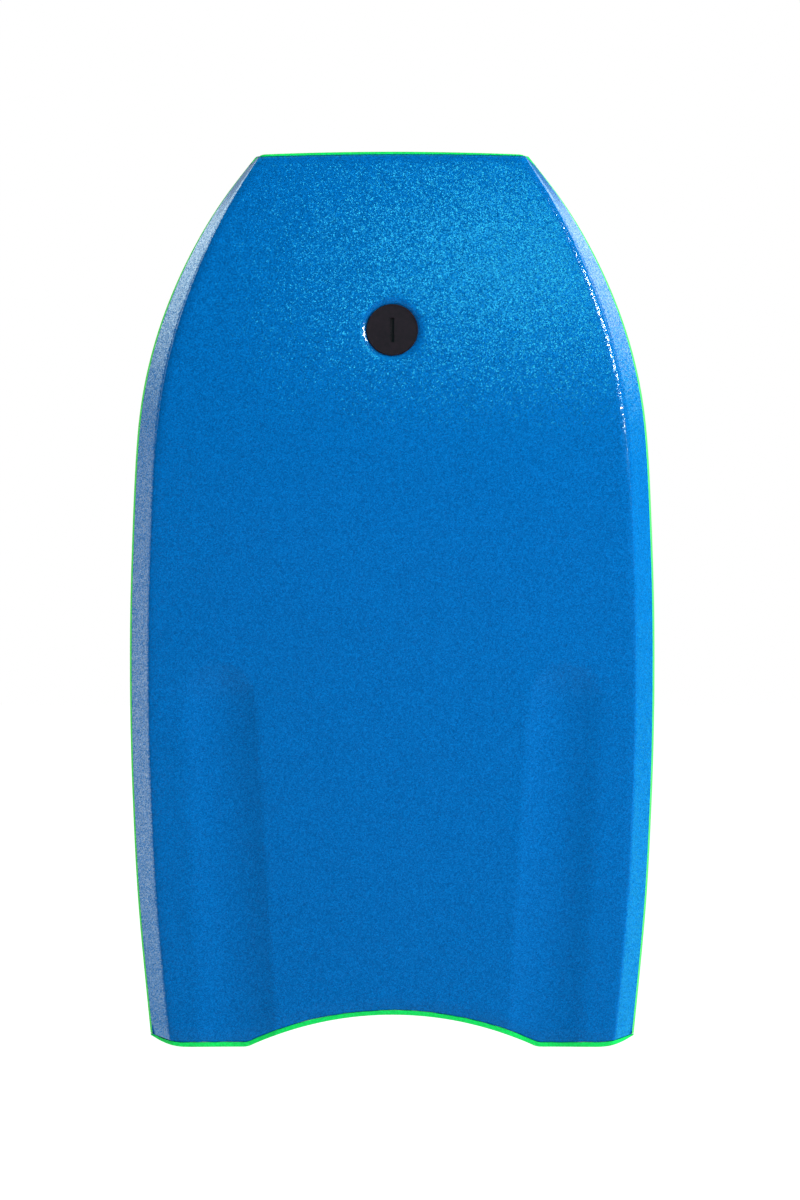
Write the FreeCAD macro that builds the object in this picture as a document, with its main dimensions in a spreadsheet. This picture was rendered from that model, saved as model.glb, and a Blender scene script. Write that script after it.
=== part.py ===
"""A 33 inch bodyboard, standing on its tail.

Millimetres. +Z runs from tail to nose, +X across the board, and the slick bottom faces -Y, the deck +Y.
The origin is the centre of the standing box's foot: the tail pads stand on Z = 0.

The board is a foam core in laminated foam skins. One form is the board's outside, a loft of cross-sections
trimmed to the plan of nose and tail; two smaller forms inside it are the skins' inner face and the core.
What lies between the outside and the inner face is the skins, which are parted along the chines and seams.
A two-part leash plug clamps through the board, and its screw half turns in its threaded half.
"""

import FreeCAD
import Part
import Sketcher
import math
import os

V = FreeCAD.Vector
DOC = FreeCAD.newDocument("bodyboard")

# ---------------------------------------------------------------- driving dimensions

DIMENSIONS = {
    # overall
    "board_length": 838.0,
    "board_depth": 64.5,  # over the flat bottom and the lifted nose's deck
    "board_thickness": 50.0,
    "nose_thinning": 13.5,
    "nose_thinning_start": 520.0,
    "tail_thinning": 4.0,
    "tail_thinning_end": 200.0,
    "nose_lift": 28.0,
    "rocker_start": 480.0,
    # rails
    "chine_width": 18.0,
    "chine_fade": 15.5,  # what the chine loses on its way to the nose
    "chine_fade_start": 550.0,
    "seam_share": 0.44,  # the seam's height, as a share of the thickness
    "shoulder_inset": 5.0,
    "shoulder_drop": 12.0,
    "deck_edge_inset": 18.0,
    "lip": 2.0,  # how far the deck skin's cut edge stands out past the chine strip
    # plan of the tail and the nose
    "crescent_depth": 30.0,
    "crescent_radius": 320.0,
    "tail_lobe_radius": 20.0,
    "tail_corner_radius": 62.0,
    "tail_corner_centre": 191.5,
    "bumper_corner_radius": 82.0,  # inside the tail bumper, so that it thins out towards the rail
    "nose_crown_radius": 2850.0,
    "nose_corner_radius": 9.0,
    "nose_corner_centre": 119.4,
    "bumper_nose_corner_centre": 127.0,  # past the board's side: the nose bumper runs out at the corner
    # skins
    "slick_thickness": 3.0,
    "deck_thickness": 4.0,
    "rail_thickness": 4.0,
    "tail_bumper_thickness": 4.2,
    "nose_bumper_thickness": 3.0,
    "glue_gap": 0.3,
    # tail channels, arcs of a round section
    "channel_radius": 121.5,
    "channel_head_depth": 4.4,
    "channel_tail_depth": 5.0,
    "channel_head_offset": 160.5,
    "channel_tail_offset": 142.0,
    "channel_length": 324.0,
    # leash plug, along its own axis from the bottom's surface to the deck's
    "plug_height": 670.5,
    "plug_span": 47.0,
    "plug_tilt": 3.6,
    "dimple_depth": 3.0,
    "dimple_floor_radius": 25.0,
    "dimple_flare": 2.6,  # how much wider the dimple is for each millimetre up its side
    "bore_radius": 14.5,
    "flange_radius": 24.0,
    "flange_thickness": 3.5,
    "rim_width": 1.2,
    "rim_height": 0.4,
    "coin_slot_length": 23.0,
    "coin_slot_width": 3.8,
    "coin_slot_depth": 2.8,
    "stem_radius": 8.0,
    "stem_bore_radius": 5.0,
    "stem_length": 22.0,
    "thread_pitch": 3.0,
    "thread_height": 1.4,
    "thread_root": 1.65,
    "thread_crest": 0.95,
    "thread_start": 7.0,
    "thread_length": 16.5,
    "socket_wall_radius": 9.8,
    "socket_outer_radius": 13.6,
    "socket_mouth": 4.0,
    "cup_radius": 10.5,
    "cup_depth": 13.0,
    "cup_floor": 3.0,
    "leash_bar_radius": 2.5,
    "leash_bar_depth": 4.0,
}

# Height of each cross-section above the tail, and the board's half width there.
STATIONS = [
    (0.0, 225.0),
    (70.0, 232.1),
    (140.0, 238.3),
    (210.0, 242.2),
    (280.0, 244.8),
    (350.0, 245.7),
    (420.0, 245.2),
    (480.0, 243.4),
    (540.0, 240.8),
    (600.0, 235.5),
    (650.0, 225.2),
    (700.0, 208.5),
    (750.0, 185.2),
    (795.0, 157.7),
    (838.0, 124.7),
]

SIDE_REACH = 300.0  # past the board's sides
DEPTH_REACH = 60.0  # past the deck and the bottom
CORNER_TURN = 42.0  # how far the plan's corners turn, in degrees, by when they are past the board's side
TAIL_FLARE = 20.0  # how far the plan's block climbs on its way out from the tail's corners
NOSE_FLARE = 150.0  # how far it falls on its way out from the nose's corners
OVERLAP = 4.0  # a cutter's reach past the surface that it cuts
THREAD_BURY = 0.3  # a thread's root inside its wall
TINY = 1e-9
SLOT_TOLERANCE = 0.02  # of the coin slot's volume

# How much of a layer's inset from the side or the deck each corner of a cross-section takes.
CHINE_EDGE_SHARE = 0.5
SEAM_CORNER_SHARE = 1.1
DECK_EDGE_SHARE = 0.4
SHOULDER_RISE_SHARE = 0.6


def make_sheet():
    sheet = DOC.addObject("Spreadsheet::Sheet", "Sheet")
    cells = dict(DIMENSIONS)
    for k, (height, half_width) in enumerate(STATIONS):
        cells[f"station_height_{k}"] = height
        cells[f"half_width_{k}"] = half_width
    for row, (alias, value) in enumerate(cells.items(), start=1):
        sheet.set(f"A{row}", alias)
        sheet.set(f"B{row}", str(value))
        sheet.setAlias(f"B{row}", alias)
    DOC.recompute()
    return sheet


SHEET = make_sheet()


def size(alias):
    """A driving dimension, as a number."""
    return float(SHEET.get(alias))


# ---------------------------------------------------------------- the board's lines, as expressions


def past(start, height):
    """How far height is past start, as a share of what is left to the nose, and 0 before it."""
    return f"(max(0; {height} - Sheet.{start}) / (Sheet.board_length - Sheet.{start}))"


def rocker(height):
    return f"(Sheet.nose_lift * {past('rocker_start', height)}^2)"


def thickness(height):
    nose = f"Sheet.nose_thinning * {past('nose_thinning_start', height)}^2"
    tail = f"Sheet.tail_thinning * (max(0; 1 - {height} / Sheet.tail_thinning_end))^2"
    return f"(Sheet.board_thickness - {nose} - {tail})"


def chine(height):
    return f"(Sheet.chine_width - Sheet.chine_fade * {past('chine_fade_start', height)}^3)"


def seam(height):
    return f"({rocker(height)} + Sheet.seam_share * {thickness(height)})"


def at_station(line):
    """A line of the board, as a function of the station's number."""
    return lambda k: line(f"Sheet.station_height_{k}")


def half_width(k):
    return f"Sheet.half_width_{k}"


def chine_edge(k):
    """Half width of the flat bottom, out to where the chine starts."""
    return f"{half_width(k)} - {at_station(chine)(k)}"


def lip(k):
    """The deck skin's cut edge stands out past the chine strip by this much. It fades as the chine does."""
    return f"Sheet.lip * {at_station(chine)(k)} / Sheet.chine_width"


def hull_section(bottom_inset="0", deck_inset="0", side_inset="0", seam_inset=lambda k: "0"):
    """Right half of a cross-section, from the bottom up: chine edge, seam, shoulder and deck edge."""

    def corners(k):
        low, mid = at_station(rocker)(k), at_station(seam)(k)
        deck = f"{low} + {at_station(thickness)(k)} - {deck_inset}"
        shoulder = f"{deck} - Sheet.shoulder_drop + {SHOULDER_RISE_SHARE} * {deck_inset}"
        deck_edge = f"{half_width(k)} - Sheet.deck_edge_inset"
        return [
            (f"{chine_edge(k)} - {CHINE_EDGE_SHARE} * {side_inset}", f"{low} + {bottom_inset}"),
            (f"{half_width(k)} - {SEAM_CORNER_SHARE} * {side_inset} - {seam_inset(k)}", mid),
            (f"{half_width(k)} - Sheet.shoulder_inset - {side_inset}", shoulder),
            (f"{deck_edge} - {DECK_EDGE_SHARE} * {side_inset}", deck),
        ]

    return corners


def band_section(width, low, high):
    """Right half of a rectangle from low to high, each a function of the station's number."""
    return lambda k: [(width(k), low(k)), (width(k), high(k))]


# ---------------------------------------------------------------- sketches and lofts


def plane_of(body, role):
    return next(feature for feature in body.Origin.OriginFeatures if feature.Role == role)


def new_sketch(body, name, role="XY_Plane"):
    sketch = body.newObject("Sketcher::SketchObject", name)
    sketch.AttachmentSupport = [(plane_of(body, role), "")]
    sketch.MapMode = "FlatFace"
    return sketch


def bind(sketch, kind, *where, value, to):
    """Adds a dimension to a sketch, bound to an expression."""
    index = sketch.addConstraint(Sketcher.Constraint(kind, *where, value))
    sketch.setExpression(f"Constraints[{index}]", to)


def half_outline_sketch(body, name, k, corners):
    """A closed outline, mirrored about the board's middle, whose right-hand corners are expressions."""
    sketch = new_sketch(body, name)
    sketch.setExpression("AttachmentOffset.Base.y", "-Sheet.board_depth / 2")
    sketch.setExpression("AttachmentOffset.Base.z", f"Sheet.station_height_{k}")
    right = [V(size("half_width_0"), (i + 1) * size("shoulder_drop"), 0) for i in range(len(corners))]
    loop = right + [V(-point.x, point.y, 0) for point in reversed(right)]
    for i, point in enumerate(loop):
        sketch.addGeometry(Part.LineSegment(point, loop[(i + 1) % len(loop)]), False)
    for i in range(len(loop)):
        sketch.addConstraint(Sketcher.Constraint("Coincident", i, 2, (i + 1) % len(loop), 1))
    for i, (across, up) in enumerate(corners):
        sketch.addConstraint(Sketcher.Constraint("Symmetric", i, 1, len(loop) - 1 - i, 1, -2))
        bind(sketch, "DistanceX", -1, 1, i, 1, value=right[i].x, to=across)
        bind(sketch, "DistanceY", -1, 1, i, 1, value=right[i].y, to=up)
    return sketch


def lofted_body(name, section):
    """A solid lofted through the cross-section at every station."""
    body = DOC.addObject("PartDesign::Body", name)
    sketches = [half_outline_sketch(body, f"{name}_section_{k}", k, section(k)) for k in range(len(STATIONS))]
    loft = body.newObject("PartDesign::AdditiveLoft", f"{name}_loft")
    loft.Profile = sketches[0]
    loft.Sections = sketches[1:]
    body.Tip = loft
    return body


# ---------------------------------------------------------------- the plan of the tail and the nose


def arc_about(centre, radius, start, end):
    """An arc, its ends as angles in degrees, run anticlockwise."""
    circle = Part.Circle(V(*centre, 0), V(0, 0, 1), radius)
    return Part.ArcOfCircle(circle, math.radians(start), math.radians(end))


def on_circle(centre, radius, angle):
    turn = math.radians(angle)
    return V(centre[0] + radius * math.cos(turn), centre[1] + radius * math.sin(turn), 0)


OUTLINE = {
    "tail_corner": "tail_corner_radius",
    "nose_corner": "nose_corner_centre",
    "nose_flare": NOSE_FLARE,
}
BUMPER_LINE = {
    "tail_corner": "bumper_corner_radius",
    "nose_corner": "bumper_nose_corner_centre",
    "nose_flare": 0.0,
}


def plan_body(name, tail_insets, nose_insets, tail_corner, nose_corner, nose_flare):
    """The board's plan as a deep block: the crescent tail and the crowned nose, both set in from the edge.

    At the sides the block is wider than the board: it flares out once the corners have turned through
    CORNER_TURN.
    """
    tail, nose = sum(size(alias) for alias in tail_insets), sum(size(alias) for alias in nose_insets)
    tail_in = "(" + " + ".join(["0"] + [f"Sheet.{alias}" for alias in tail_insets]) + ")"
    nose_in = "(" + " + ".join(["0"] + [f"Sheet.{alias}" for alias in nose_insets]) + ")"

    arch, depth, lobe = size("crescent_radius"), size("crescent_depth"), size("tail_lobe_radius")
    arch_centre = (0, depth - arch)
    lobe_centre = (math.sqrt((arch + lobe) ** 2 - (arch - depth + lobe) ** 2), lobe)
    corner, corner_angle = size(tail_corner) - tail, CORNER_TURN - 90
    corner_centre = (size("tail_corner_centre"), size(tail_corner))
    length, crown, round_off = size("board_length"), size("nose_crown_radius"), size("nose_corner_radius")
    crown_centre = (0, length - crown)
    round_x = size(nose_corner)
    round_centre = (round_x, length - crown + math.sqrt((crown - round_off) ** 2 - round_x**2))
    lobe_angle = math.degrees(math.atan2(lobe - arch_centre[1], lobe_centre[0]))
    crown_angle = math.degrees(math.atan2(round_centre[1] - crown_centre[1], round_x))
    corner_end = on_circle(corner_centre, corner, corner_angle)
    nose_end = on_circle(round_centre, round_off - nose, 90 - CORNER_TURN)
    low_side = V(SIDE_REACH, corner_end.y + TAIL_FLARE, 0)
    high_side = V(SIDE_REACH, nose_end.y - nose_flare, 0)

    body = DOC.addObject("PartDesign::Body", name)
    sketch = new_sketch(body, f"{name}_outline", "XZ_Plane")
    outline = {
        "crescent": arc_about(arch_centre, arch + tail, lobe_angle, 90),
        "lobe": arc_about(lobe_centre, lobe - tail, lobe_angle + 180, 270),
        "pad": Part.LineSegment(V(lobe_centre[0], tail, 0), V(corner_centre[0], tail, 0)),
        "corner": arc_about(corner_centre, corner, -90, corner_angle),
        "tail_flare": Part.LineSegment(corner_end, low_side),
        "side": Part.LineSegment(low_side, high_side),
        "nose_flare": Part.LineSegment(high_side, nose_end),
        "nose_corner": arc_about(round_centre, round_off - nose, 90 - CORNER_TURN, crown_angle),
        "crown": arc_about(crown_centre, crown - nose, crown_angle, 90),
        "middle": Part.LineSegment(V(0, length - nose, 0), V(0, depth + tail, 0)),
    }
    edge = {part_name: sketch.addGeometry(geometry, False) for part_name, geometry in outline.items()}

    def join(kind, first, end, second, start):
        sketch.addConstraint(Sketcher.Constraint(kind, edge[first], end, edge[second], start))

    join("Tangent", "crescent", 1, "lobe", 1)
    join("Tangent", "lobe", 2, "pad", 1)
    join("Tangent", "pad", 2, "corner", 1)
    join("Coincident", "corner", 2, "tail_flare", 1)
    join("Coincident", "tail_flare", 2, "side", 1)
    join("Coincident", "side", 2, "nose_flare", 1)
    join("Coincident", "nose_flare", 2, "nose_corner", 1)
    join("Tangent", "nose_corner", 2, "crown", 1)
    join("Coincident", "crown", 2, "middle", 1)
    join("Coincident", "middle", 2, "crescent", 2)
    sketch.addConstraint(Sketcher.Constraint("Horizontal", edge["pad"]))
    sketch.addConstraint(Sketcher.Constraint("Vertical", edge["side"]))
    for curve in ("crescent", "crown"):
        sketch.addConstraint(Sketcher.Constraint("PointOnObject", edge[curve], 3, -2))
        sketch.addConstraint(Sketcher.Constraint("PointOnObject", edge[curve], 2, -2))

    for curve, radius, to in (
        ("crescent", arch + tail, f"Sheet.crescent_radius + {tail_in}"),
        ("lobe", lobe - tail, f"Sheet.tail_lobe_radius - {tail_in}"),
        ("corner", corner, f"Sheet.{tail_corner} - {tail_in}"),
        ("nose_corner", round_off - nose, f"Sheet.nose_corner_radius - {nose_in}"),
        ("crown", crown - nose, f"Sheet.nose_crown_radius - {nose_in}"),
    ):
        bind(sketch, "Radius", edge[curve], value=radius, to=to)
    arch_drop = "Sheet.crescent_radius - Sheet.crescent_depth"
    bind(sketch, "DistanceY", edge["crescent"], 3, -1, 1, value=arch - depth, to=arch_drop)
    bind(sketch, "DistanceY", -1, 1, edge["lobe"], 3, value=lobe, to="Sheet.tail_lobe_radius")
    bind(sketch, "DistanceX", -1, 1, edge["corner"], 3, value=corner_centre[0], to="Sheet.tail_corner_centre")
    bind(sketch, "DistanceX", -1, 1, edge["nose_corner"], 3, value=round_x, to=f"Sheet.{nose_corner}")
    top = f"Sheet.board_length - {nose_in}"
    bind(sketch, "DistanceY", -1, 1, edge["middle"], 1, value=length - nose, to=top)
    for kind, curve, end, value in (
        ("DistanceX", "corner", 2, corner_end.x),
        ("DistanceX", "nose_corner", 1, nose_end.x),
        ("DistanceX", "side", 1, SIDE_REACH),
        ("DistanceY", "side", 1, low_side.y),
        ("DistanceY", "side", 2, high_side.y),
    ):
        sketch.addConstraint(Sketcher.Constraint(kind, -1, 1, edge[curve], end, value))

    block = body.newObject("PartDesign::Pad", f"{name}_block")
    block.Profile = sketch
    block.Length = 2 * DEPTH_REACH
    block.Midplane = True
    mirror = body.newObject("PartDesign::Mirrored", f"{name}_mirror")
    mirror.Originals = [block]
    mirror.MirrorPlane = (plane_of(body, "YZ_Plane"), [""])
    body.Tip = mirror
    return body


# ---------------------------------------------------------------- booleans


def boolean(kind, name, base, tool):
    result = DOC.addObject(f"Part::{kind}", name)
    result.Base = base
    result.Tool = tool
    return result


def common(name, base, tool):
    return boolean("Common", name, base, tool)


def cut(name, base, tool):
    return boolean("Cut", name, base, tool)


def fused(name, pieces):
    result = DOC.addObject("Part::MultiFuse", name)
    result.Shapes = pieces
    return result


def block(name, low, high):
    """A box between two corners, for parting left from right or nose from tail."""
    box = DOC.addObject("Part::Box", name)
    box.Length, box.Width, box.Height = (high[i] - low[i] for i in range(3))
    box.Placement.Base = V(*low)
    return box


# ---------------------------------------------------------------- channels, dimples and the plug's bore


def on_plug_axis(thing, along="0"):
    """Places something in the leash plug's frame, whose Z runs from the bottom's surface to the deck."""
    thing.Placement = FreeCAD.Placement(V(), FreeCAD.Rotation(V(-1, 0, 0), 90 + size("plug_tilt")))
    foot = f"-Sheet.board_depth / 2 + {rocker('Sheet.plug_height')}"
    thing.setExpression("Placement.Base.y", f"{foot} + ({along}) * cos(Sheet.plug_tilt)")
    thing.setExpression("Placement.Base.z", f"Sheet.plug_height - ({along}) * sin(Sheet.plug_tilt)")
    thing.setExpression("Placement.Rotation.Angle", "90 + Sheet.plug_tilt")


def channel_cutter(name, side, growth):
    """One tail channel's round section, run from its rounded head to past the tail."""
    ends = []
    for depth, offset, height in (
        ("channel_head_depth", "channel_head_offset", size("channel_length")),
        ("channel_tail_depth", "channel_tail_offset", 0.0),
    ):
        below = size(depth) - size("board_depth") / 2 - size("channel_radius")
        ends.append(V(side * size(offset), below, height))
    head, tail = ends
    run = tail - head
    trough = DOC.addObject("Part::Cylinder", f"{name}_trough")
    trough.setExpression("Radius", f"Sheet.channel_radius + {growth}")
    trough.Height = run.Length + OVERLAP
    trough.Placement = FreeCAD.Placement(head, FreeCAD.Rotation(V(0, 0, 1), run))
    rounded = DOC.addObject("Part::Sphere", f"{name}_head")
    rounded.setExpression("Radius", f"Sheet.channel_radius + {growth}")
    rounded.Placement.Base = head
    return fused(name, [trough, rounded])


def dimple_cutter(name, on_deck, growth):
    """A plug flange's seat: a flat floor with a flared side."""
    cone = DOC.addObject("Part::Cone", name)
    sunk = f"(Sheet.dimple_depth + {growth})"
    cone.setExpression("Height", f"{sunk} + {OVERLAP}")
    floor, mouth = ("Radius1", "Radius2") if on_deck else ("Radius2", "Radius1")
    cone.setExpression(floor, "Sheet.dimple_floor_radius")
    cone.setExpression(mouth, f"Sheet.dimple_floor_radius + Sheet.dimple_flare * ({sunk} + {OVERLAP})")
    on_plug_axis(cone, f"Sheet.plug_span - {sunk}" if on_deck else f"-{OVERLAP}")
    return cone


def hollows(name, bottom_growth, deck_growth):
    """All that is pressed into the board's faces, grown by how deep below them this layer lies."""
    pieces = [
        channel_cutter(f"{name}_channel_left", -1, bottom_growth),
        channel_cutter(f"{name}_channel_right", 1, bottom_growth),
        dimple_cutter(f"{name}_bottom_dimple", False, bottom_growth),
        dimple_cutter(f"{name}_deck_dimple", True, deck_growth),
    ]
    return fused(name, pieces)


def plug_bore():
    bore = DOC.addObject("Part::Cylinder", "plug_bore")
    bore.setExpression("Radius", "Sheet.bore_radius")
    bore.setExpression("Height", f"Sheet.plug_span + 2 * {OVERLAP}")
    on_plug_axis(bore, f"-{OVERLAP}")
    return bore


# ---------------------------------------------------------------- the board's forms

outer_hull = lofted_body("outer_hull", hull_section())
chine_hull = lofted_body("chine_hull", hull_section(seam_inset=lip))
liner_hull = lofted_body(
    "liner_hull", hull_section("Sheet.slick_thickness", "Sheet.deck_thickness", "Sheet.rail_thickness")
)
core_hull = lofted_body(
    "core_hull",
    hull_section(
        "(Sheet.slick_thickness + Sheet.glue_gap)",
        "(Sheet.deck_thickness + Sheet.glue_gap)",
        "(Sheet.rail_thickness + Sheet.glue_gap)",
    ),
)

plan = plan_body("plan", [], [], **OUTLINE)
inner_plan = plan_body("inner_plan", ["tail_bumper_thickness"], ["nose_bumper_thickness"], **BUMPER_LINE)
skin_plan = plan_body(
    "skin_plan", ["tail_bumper_thickness", "glue_gap"], ["nose_bumper_thickness", "glue_gap"], **BUMPER_LINE
)

outside = cut("outside", common("outer_plan", outer_hull, plan), hollows("outer", "0", "0"))
inner_face = cut(
    "inner_face", liner_hull, hollows("inner", "Sheet.slick_thickness", "Sheet.deck_thickness")
)
bore = plug_bore()


def skins_of(name, form):
    """The layer between a form and the skins' inner face, between the bumpers, with the plug's hole."""
    trimmed = common(f"{name}_trimmed", form, skin_plan)
    return cut(f"{name}_layer", cut(f"{name}_shell", trimmed, inner_face), bore)


skins = skins_of("skins", outside)
side_skins = skins_of("side_skins", chine_hull)

# ---------------------------------------------------------------- where the skins are parted


def reach(k):
    return str(SIDE_REACH)


def below(k):
    return str(-DEPTH_REACH)


def above(k):
    return str(DEPTH_REACH + 2 * size("board_thickness"))


def under_seam(k):
    return f"{at_station(seam)(k)} - Sheet.glue_gap"


flat_zone = lofted_body("flat_zone", band_section(chine_edge, below, under_seam))
past_flat_zone = lofted_body(
    "past_flat_zone", band_section(lambda k: f"{chine_edge(k)} + Sheet.glue_gap", below, under_seam)
)
lower_zone = lofted_body("lower_zone", band_section(reach, below, under_seam))
upper_zone = lofted_body("upper_zone", band_section(reach, at_station(seam), above))


# ---------------------------------------------------------------- the board's pieces

PIECES = []


def piece(thing, label):
    """Names a finished sub-part."""
    thing.Label = label
    PIECES.append(thing)
    return thing


length = size("board_length")
near_corner, far_corner = (-SIDE_REACH, -DEPTH_REACH, -OVERLAP), (SIDE_REACH, DEPTH_REACH, length + OVERLAP)
left_side = block("left_side", near_corner, (0, DEPTH_REACH, length + OVERLAP))
right_side = block("right_side", (0, -DEPTH_REACH, -OVERLAP), far_corner)
tail_half = block("tail_half", near_corner, (SIDE_REACH, DEPTH_REACH, length / 2))
nose_half = block("nose_half", (-SIDE_REACH, -DEPTH_REACH, length / 2), far_corner)


def make_core():
    trimmed = common("core_trimmed", core_hull, skin_plan)
    bottom_growth = "(Sheet.slick_thickness + Sheet.glue_gap)"
    deck_growth = "(Sheet.deck_thickness + Sheet.glue_gap)"
    hollowed = cut("core_hollowed", trimmed, hollows("core", bottom_growth, deck_growth))
    return piece(cut("core", hollowed, bore), "foam_core")


def make_rail_strips():
    """The foam strips along the chines, from the bottom's edge up to the seam."""
    low_layer = common("chine_layer", side_skins, lower_zone)
    both = cut("chine_strips", low_layer, past_flat_zone)
    piece(common("left_strip", both, left_side), "rail_strip_left")
    piece(common("right_strip", both, right_side), "rail_strip_right")


def make_bumpers():
    """Foam strips round the cut ends of the board, as tall as it is thick."""
    rim = cut("end_rims", outside, inner_plan)
    piece(common("nose_rim", rim, nose_half), "nose_bumper")
    piece(common("tail_rim", rim, tail_half), "tail_bumper")


make_core()
piece(common("deck", skins, upper_zone), "deck_skin")
piece(common("slick", skins, flat_zone), "slick_bottom")
make_rail_strips()
make_bumpers()


# ---------------------------------------------------------------- the leash plug


def loop_sketch(body, name, points, role="XZ_Plane"):
    """A closed outline whose corners are pairs of expressions: across, then up."""
    sketch = new_sketch(body, name, role)
    corners = [V(*(value_of(sketch, expression) for expression in point), 0) for point in points]
    count = len(corners)
    for i, corner in enumerate(corners):
        sketch.addGeometry(Part.LineSegment(corner, corners[(i + 1) % count]), False)
    for i in range(count):
        sketch.addConstraint(Sketcher.Constraint("Coincident", i, 2, (i + 1) % count, 1))
    for i, (across, up) in enumerate(points):
        bounds = (("DistanceX", corners[i].x, across), ("DistanceY", corners[i].y, up))
        for kind, value, expression in bounds:
            if abs(value) < TINY:
                axis = -2 if kind == "DistanceX" else -1
                sketch.addConstraint(Sketcher.Constraint("PointOnObject", i, 1, axis))
            else:
                bind(sketch, kind, -1, 1, i, 1, value=value, to=expression)
    return sketch


def value_of(thing, expression):
    return float(thing.evalExpression(expression))


def revolved(body, name, points):
    profile = loop_sketch(body, f"{name}_profile", points)
    turned = body.newObject("PartDesign::Revolution", name)
    turned.Profile = profile
    turned.ReferenceAxis = (profile, ["V_Axis"])
    turned.Angle = 360
    body.Tip = turned
    DOC.recompute()
    return turned


def threaded(body, name, root, outward, start, length):
    """A trapezoidal ridge wound about the body's own Z, outward from a stem or inward from a socket."""
    into_wall, out_of_wall = ("-", "+") if outward else ("+", "-")
    buried = f"Sheet.{root} {into_wall} {THREAD_BURY}"
    crest = f"Sheet.{root} {out_of_wall} Sheet.thread_height"
    points = [
        (buried, f"{start} - Sheet.thread_root / 2"),
        (f"Sheet.{root}", f"{start} - Sheet.thread_root / 2"),
        (crest, f"{start} - Sheet.thread_crest / 2"),
        (crest, f"{start} + Sheet.thread_crest / 2"),
        (f"Sheet.{root}", f"{start} + Sheet.thread_root / 2"),
        (buried, f"{start} + Sheet.thread_root / 2"),
    ]
    profile = loop_sketch(body, f"{name}_profile", points)
    thread = body.newObject("PartDesign::AdditiveHelix", name)
    thread.Profile = profile
    thread.ReferenceAxis = (profile, ["V_Axis"])
    thread.Mode = 0  # by pitch and height
    thread.setExpression("Pitch", "Sheet.thread_pitch")
    thread.setExpression("Height", length)
    thread.Angle = 0
    thread.LeftHanded = False
    thread.Reversed = False
    body.Tip = thread
    DOC.recompute()
    return thread


def make_plug_screw():
    """The bottom half: a coin-slotted flange on a hollow threaded stem. It turns on its seat."""
    body = DOC.addObject("PartDesign::Body", "plug_screw")
    seat = "Sheet.dimple_depth - Sheet.glue_gap"
    rim_top = f"{seat} - Sheet.flange_thickness"
    face = f"{rim_top} + Sheet.rim_height"
    tip = f"{seat} + Sheet.stem_length"
    rim_inside = "Sheet.flange_radius - Sheet.rim_width"
    rim_edge = "Sheet.flange_radius - Sheet.rim_width / 3"
    blind_end = f"{seat} + Sheet.rim_width"
    points = [
        ("0", face),
        (rim_inside, face),
        (f"{rim_inside} + Sheet.rim_height / 2", rim_top),
        (rim_edge, rim_top),
        ("Sheet.flange_radius", face),
        ("Sheet.flange_radius", seat),
        ("Sheet.stem_radius", seat),
        ("Sheet.stem_radius", tip),
        ("Sheet.stem_bore_radius", tip),
        ("Sheet.stem_bore_radius", blind_end),
        ("0", blind_end),
    ]
    revolved(body, "screw_blank", points)
    threaded(body, "screw_thread", "stem_radius", True, "Sheet.thread_start", "Sheet.thread_length")
    before = body.Shape.Volume

    slot = new_sketch(body, "coin_slot_outline")
    slot.setExpression("AttachmentOffset.Base.z", face)
    across, along = size("coin_slot_width") / 2, size("coin_slot_length") / 2
    corners = [V(-across, -along, 0), V(across, -along, 0), V(across, along, 0), V(-across, along, 0)]
    for i in range(4):
        slot.addGeometry(Part.LineSegment(corners[i], corners[(i + 1) % 4]), False)
    for i in range(4):
        slot.addConstraint(Sketcher.Constraint("Coincident", i, 2, (i + 1) % 4, 1))
        slot.addConstraint(Sketcher.Constraint("Vertical" if i % 2 else "Horizontal", i))
    slot.addConstraint(Sketcher.Constraint("Symmetric", 0, 1, 1, 2, -1, 1))
    bind(slot, "DistanceX", 0, 1, 0, 2, value=2 * across, to="Sheet.coin_slot_width")
    bind(slot, "DistanceY", 1, 1, 1, 2, value=2 * along, to="Sheet.coin_slot_length")
    pocket = body.newObject("PartDesign::Pocket", "coin_slot")
    pocket.Profile = slot
    pocket.setExpression("Length", "Sheet.coin_slot_depth")
    pocket.Reversed = True
    body.Tip = pocket
    DOC.recompute()
    expected = size("coin_slot_width") * size("coin_slot_length") * size("coin_slot_depth")
    if abs(before - body.Shape.Volume - expected) > SLOT_TOLERANCE * expected:
        raise RuntimeError(f"the coin slot took {before - body.Shape.Volume:.1f}, not {expected:.1f}")
    on_plug_axis(body)
    return piece(body, "leash_plug_screw")


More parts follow.
